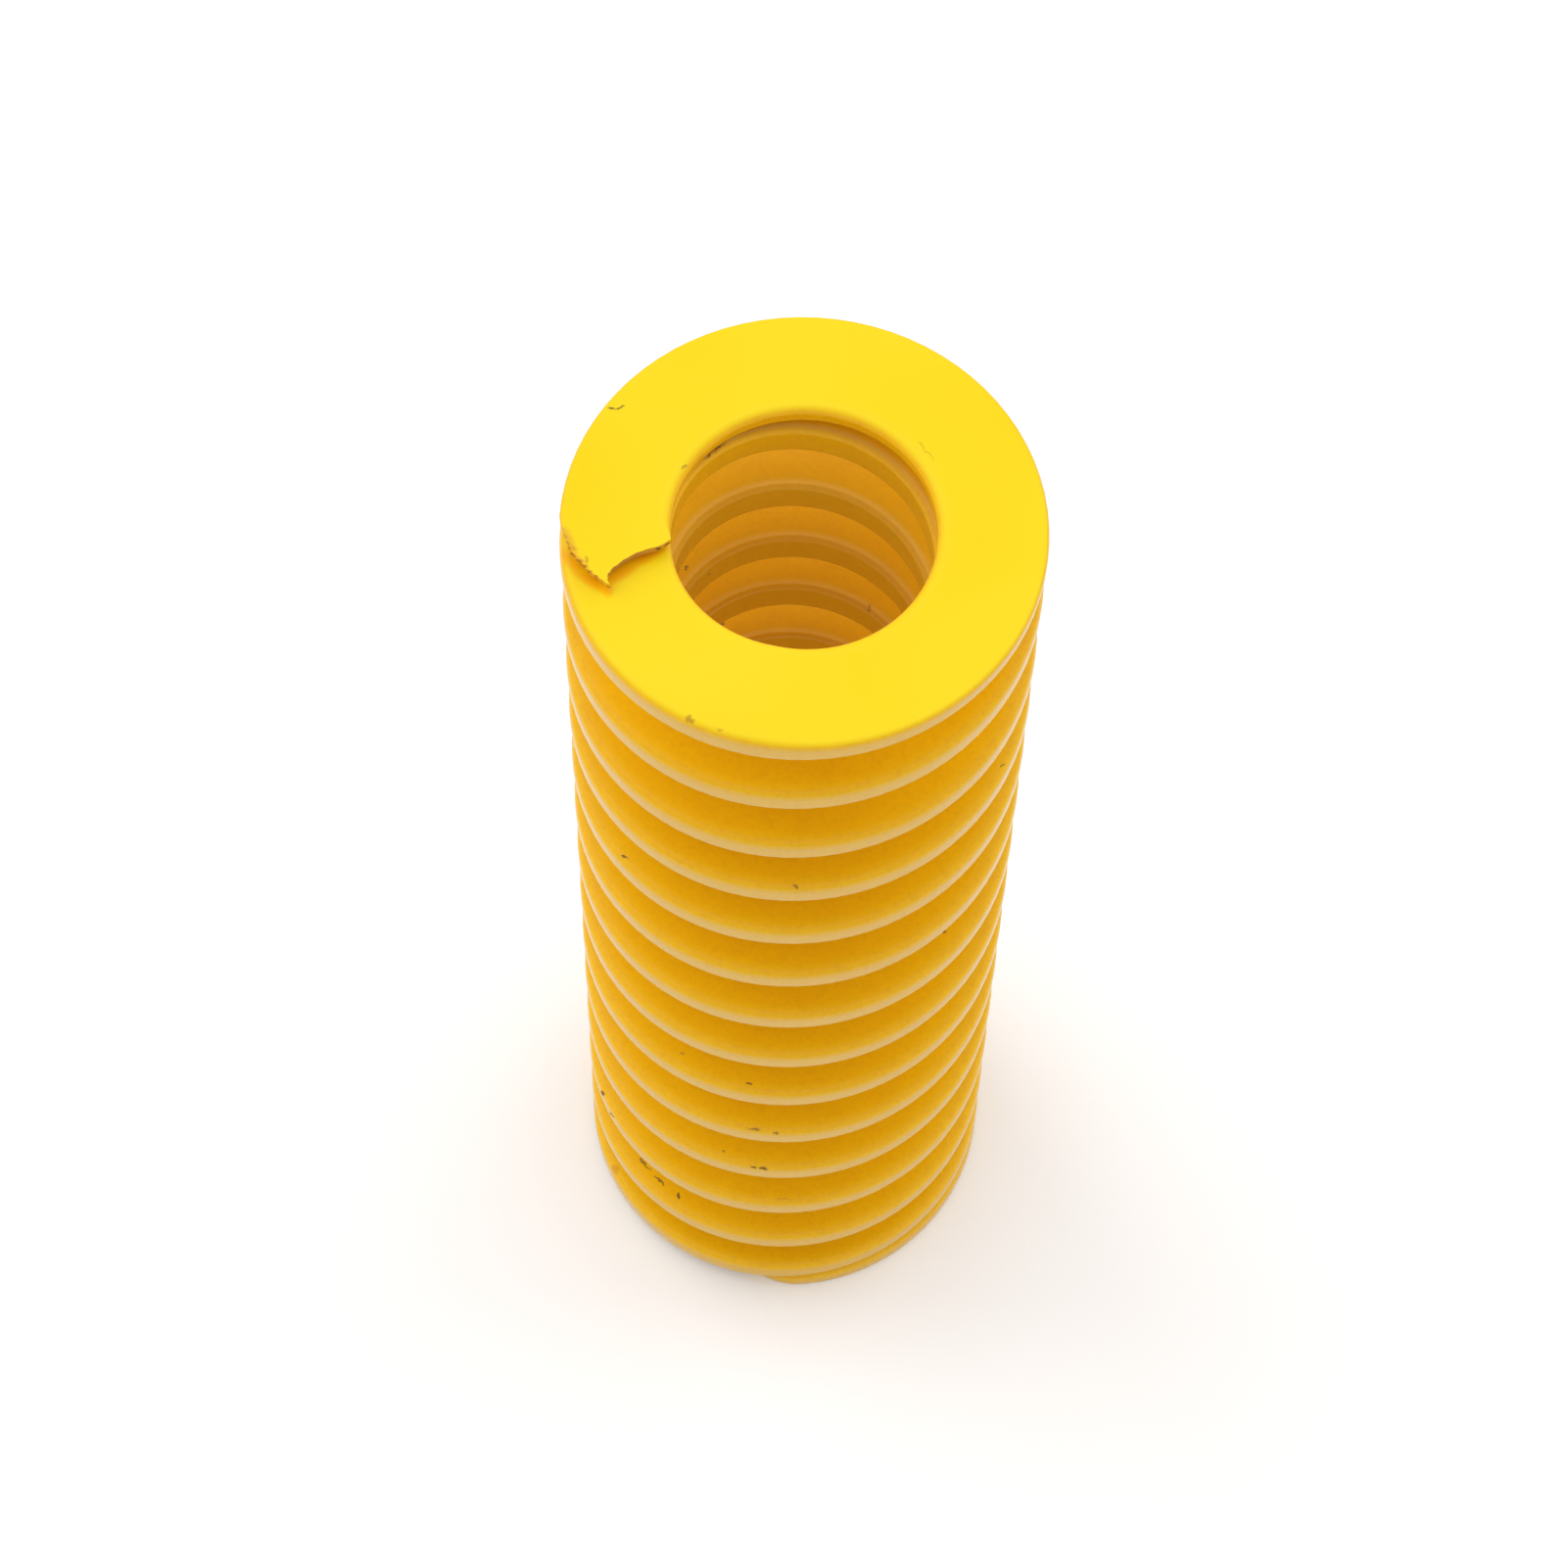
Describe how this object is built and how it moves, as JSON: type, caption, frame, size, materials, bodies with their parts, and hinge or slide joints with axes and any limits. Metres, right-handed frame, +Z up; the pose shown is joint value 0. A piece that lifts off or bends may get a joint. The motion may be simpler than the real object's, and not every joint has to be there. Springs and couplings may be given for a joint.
{
  "type": "die spring",
  "caption": "Yellow painted heavy-duty compression spring of flat wire, with closed and ground ends; sits in a drilled pocket over a guide rod.",
  "frame": {"origin": "centre of the bottom ground face, on the spring's axis", "axes": "+Z up the spring's axis to the top ground face; +X and -Y face the right and front of the spring as it stands"},
  "size_m": [0.025, 0.025, 0.08],
  "materials": {
    "paint": "glossy yellow powder coat over spring steel, worn and chipped in a few places"
  },
  "bodies": {
    "root": {"spring": "paint"}
  },
  "joints": []
}
